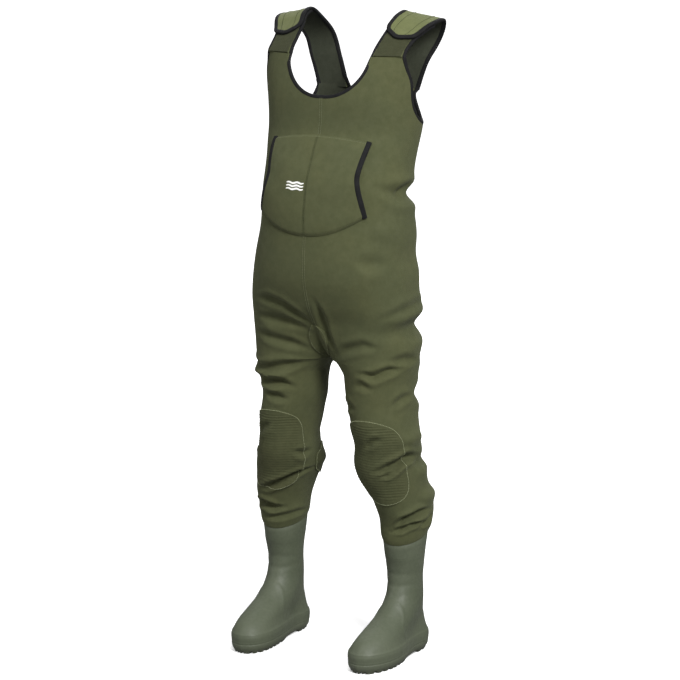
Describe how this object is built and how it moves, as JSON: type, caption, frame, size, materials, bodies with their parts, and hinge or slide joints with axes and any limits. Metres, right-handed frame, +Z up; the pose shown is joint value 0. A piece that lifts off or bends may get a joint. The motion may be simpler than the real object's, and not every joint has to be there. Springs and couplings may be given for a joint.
{
  "type": "chest waders",
  "caption": "Neoprene chest waders with a bib, over-shoulder hook-and-loop straps, chest pouch, knee patches and moulded rubber boots.",
  "frame": {"origin": "on the ground under the middle of the overall box, between the two boots", "axes": "+Z up, the wearer faces -Y, the wearer's left is +X"},
  "size_m": [0.4462, 0.3485, 1.4857],
  "materials": {
    "neoprene": "knit-faced foamed neoprene, olive green, matte with a faint sheen",
    "binding": "folded knit binding, near black, matte",
    "loop_pile": "brushed loop pile, dull olive",
    "lining": "plain knit, dull green",
    "patch": "fine horizontal ribs, hard-wearing",
    "print": "flat white print",
    "boot": "moulded PVC, grey green, semi-matte"
  },
  "bodies": {
    "torso": {"body_half_left": "neoprene", "body_half_right": "neoprene", "front_strap_left": "neoprene", "front_strap_right": "neoprene", "back_strap_left": "neoprene", "back_strap_right": "neoprene", "loop_pile_left": "loop_pile", "loop_pile_right": "loop_pile", "armhole_binding_left": "binding", "armhole_binding_right": "binding", "pouch_binding_left": "binding", "pouch_binding_right": "binding", "hip_sleeve_left": "neoprene", "hip_sleeve_right": "neoprene", "neck_binding": "binding", "back_neck_binding": "binding", "pouch_panel": "neoprene", "pouch_print": "print", "front_seam_tape": "lining", "back_seam_tape": "lining", "crotch_gusset": "neoprene", "seat_gusset": "neoprene"},
    "strap_flap_left": {"strap_flap_left": "neoprene", "hook_tape_left": "binding", "flap_binding_left": "binding"},
    "thigh_left": {"thigh_leg_left": "neoprene", "knee_sleeve_left": "neoprene", "knee_patch_left": "patch", "calf_patch_left": "patch"},
    "shin_left": {"shin_leg_left": "neoprene", "cuff_sleeve_left": "neoprene"},
    "boot_left": {"boot_upper_left": "boot", "outsole_left": "boot", "insole_left": "lining"},
    "strap_flap_right": {"strap_flap_right": "neoprene", "hook_tape_right": "binding", "flap_binding_right": "binding"},
    "thigh_right": {"thigh_leg_right": "neoprene", "knee_sleeve_right": "neoprene", "knee_patch_right": "patch", "calf_patch_right": "patch"},
    "shin_right": {"shin_leg_right": "neoprene", "cuff_sleeve_right": "neoprene"},
    "boot_right": {"boot_upper_right": "boot", "outsole_right": "boot", "insole_right": "lining"}
  },
  "joints": [
    {"name": "flap_peel_left", "type": "hinge", "parent": "torso", "child": "strap_flap_left", "pos_m": [0.1602, 0.1373, 1.4668], "axis": [-0.935, -0.2938, 0.1986], "range_deg": [0, 120]},
    {"name": "hip_bend_left", "type": "hinge", "parent": "torso", "child": "thigh_left", "pos_m": [0.115, 0.012, 0.645], "axis": [-1, 0, 0], "range_deg": [-15, 45], "deforming": ["hip_sleeve_left"]},
    {"name": "knee_bend_left", "type": "hinge", "parent": "thigh_left", "child": "shin_left", "pos_m": [0.133, 0.0175, 0.468], "axis": [1, 0, 0], "range_deg": [0, 75], "deforming": ["knee_sleeve_left", "knee_patch_left", "calf_patch_left"]},
    {"name": "cuff_flex_left", "type": "hinge", "parent": "shin_left", "child": "boot_left", "pos_m": [0.1627, 0.048, 0.312], "axis": [1, 0, 0], "range_deg": [-15, 15], "deforming": ["cuff_sleeve_left"]},
    {"name": "flap_peel_right", "type": "hinge", "parent": "torso", "child": "strap_flap_right", "pos_m": [-0.1602, 0.1373, 1.4668], "axis": [-0.935, 0.2938, -0.1986], "range_deg": [0, 120]},
    {"name": "hip_bend_right", "type": "hinge", "parent": "torso", "child": "thigh_right", "pos_m": [-0.115, 0.012, 0.645], "axis": [-1, 0, 0], "range_deg": [-15, 45], "deforming": ["hip_sleeve_right"]},
    {"name": "knee_bend_right", "type": "hinge", "parent": "thigh_right", "child": "shin_right", "pos_m": [-0.133, 0.0175, 0.468], "axis": [1, 0, 0], "range_deg": [0, 75], "deforming": ["knee_sleeve_right", "knee_patch_right", "calf_patch_right"]},
    {"name": "cuff_flex_right", "type": "hinge", "parent": "shin_right", "child": "boot_right", "pos_m": [-0.1627, 0.048, 0.312], "axis": [1, 0, 0], "range_deg": [-15, 15], "deforming": ["cuff_sleeve_right"]}
  ]
}
